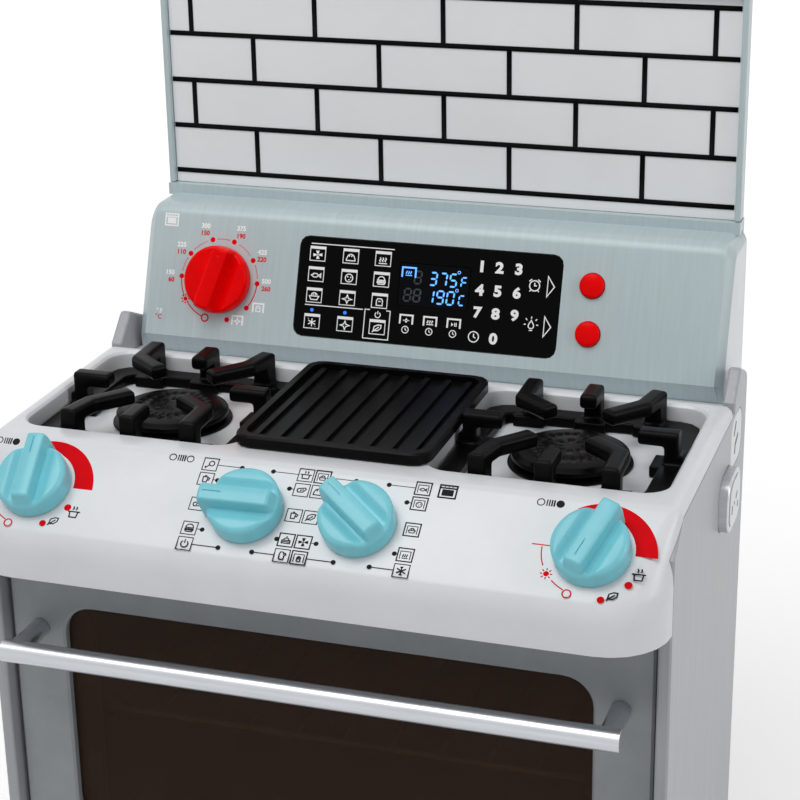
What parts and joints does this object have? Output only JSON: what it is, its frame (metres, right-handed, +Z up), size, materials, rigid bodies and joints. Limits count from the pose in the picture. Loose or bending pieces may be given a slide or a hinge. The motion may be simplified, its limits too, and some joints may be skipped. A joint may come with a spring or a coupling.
{
  "type": "toy oven",
  "caption": "Floor-standing toy oven with two hobs and a griddle, turning knobs, a control console with a dial and push buttons, a tiled backsplash and a drop-down door.",
  "frame": {"origin": "on the floor, under the middle of the toy", "axes": "-Y faces the person who plays, +X is that person's right, +Z is up"},
  "size_m": [0.5588, 0.41, 0.8127],
  "materials": {
    "white_shell": "smooth",
    "side_grey": "fine brushed look",
    "console_grey": "fine brushed look",
    "inner_grey": "plain",
    "liner_dark": "plain",
    "door_grey": "fine brushed look",
    "turquoise": "satin",
    "red": "satin",
    "hob_black": "satin",
    "display_black": "polished",
    "screen": "polished, lit",
    "window_smoke": "polished",
    "tile_white": "smooth",
    "line_black": "printed",
    "rubber_dark": "plain",
    "board_green": "plain",
    "steel": "satin",
    "silver": "metal look"
  },
  "bodies": {
    "cabinet": {"worktop": "white_shell", "side_panel_left": "side_grey", "side_panel_right": "side_grey", "base_tray": "inner_grey", "rear_cover": "inner_grey", "front_frame": "door_grey", "oven_liner": "liner_dark", "battery_box": "inner_grey", "battery_door": "inner_grey", "side_plate": "white_shell", "burner_left": "hob_black", "burner_right": "hob_black", "grate_left": "hob_black", "grate_right": "hob_black", "griddle": "hob_black", "console_shell": "console_grey", "console_back": "console_grey", "display_panel": "display_black", "display_screen": "screen", "dial_switch": "rubber_dark", "button_mat": "rubber_dark", "control_board": "board_green", "speaker": "rubber_dark", "splash_frame": "console_grey", "splash_panel": "tile_white", "tile_lines": "line_black", "hinge_pin_left": "steel", "hinge_pin_right": "steel", "rear_screw_1": "steel", "foot_1": "rubber_dark", "rear_screw_2": "steel", "foot_2": "rubber_dark", "rear_screw_3": "steel", "foot_3": "rubber_dark", "rear_screw_4": "steel", "foot_4": "rubber_dark"},
    "oven_door": {"door_front": "door_grey", "door_glass": "window_smoke", "door_back": "inner_grey", "door_handle": "silver"},
    "rack": {"oven_rack": "steel"},
    "dial": {"temperature_dial": "red"},
    "upper_button": {"button_upper": "red"},
    "lower_button": {"button_lower": "red"},
    "side_push": {"side_button": "silver", "side_button_label": "white_shell"},
    "hob_knob_1": {"knob_1": "turquoise", "click_wheel_1": "inner_grey"},
    "hob_knob_2": {"knob_2": "turquoise", "click_wheel_2": "inner_grey"},
    "hob_knob_3": {"knob_3": "turquoise", "click_wheel_3": "inner_grey"},
    "hob_knob_4": {"knob_4": "turquoise", "click_wheel_4": "inner_grey"}
  },
  "joints": [
    {"name": "knob_1_turn", "type": "hinge", "parent": "cabinet", "child": "hob_knob_1", "pos_m": [-0.2183, -0.16848, 0.47465], "axis": [0, -0.6036, 0.7973], "continuous": true},
    {"name": "knob_2_turn", "type": "hinge", "parent": "cabinet", "child": "hob_knob_2", "pos_m": [-0.044, -0.16848, 0.47465], "axis": [0, -0.6036, 0.7973], "continuous": true},
    {"name": "knob_3_turn", "type": "hinge", "parent": "cabinet", "child": "hob_knob_3", "pos_m": [0.044, -0.16848, 0.47465], "axis": [0, -0.6036, 0.7973], "continuous": true},
    {"name": "knob_4_turn", "type": "hinge", "parent": "cabinet", "child": "hob_knob_4", "pos_m": [0.2183, -0.16848, 0.47465], "axis": [0, -0.6036, 0.7973], "continuous": true},
    {"name": "dial_turn", "type": "hinge", "parent": "cabinet", "child": "dial", "pos_m": [-0.1873, 0.12701, 0.55221], "axis": [0, -0.9391, 0.3437], "continuous": true},
    {"name": "upper_button_press", "type": "slide", "parent": "cabinet", "child": "upper_button", "axis": [0, 0.9391, -0.3437], "range_m": [0, 0.0025], "stiffness_N_per_m": 200, "springref_m": -0.002},
    {"name": "lower_button_press", "type": "slide", "parent": "cabinet", "child": "lower_button", "axis": [0, 0.9391, -0.3437], "range_m": [0, 0.0025], "stiffness_N_per_m": 200, "springref_m": -0.002},
    {"name": "side_button_press", "type": "slide", "parent": "cabinet", "child": "side_push", "axis": [-1, 0, 0], "range_m": [0, 0.0026], "stiffness_N_per_m": 250, "springref_m": -0.002},
    {"name": "door_swing", "type": "hinge", "parent": "cabinet", "child": "oven_door", "pos_m": [0, -0.135, 0.078], "axis": [1, 0, 0], "range_deg": [0, 90]},
    {"name": "rack_slide", "type": "slide", "parent": "cabinet", "child": "rack", "axis": [0, -1, 0], "range_m": [0, 0.02]}
  ]
}
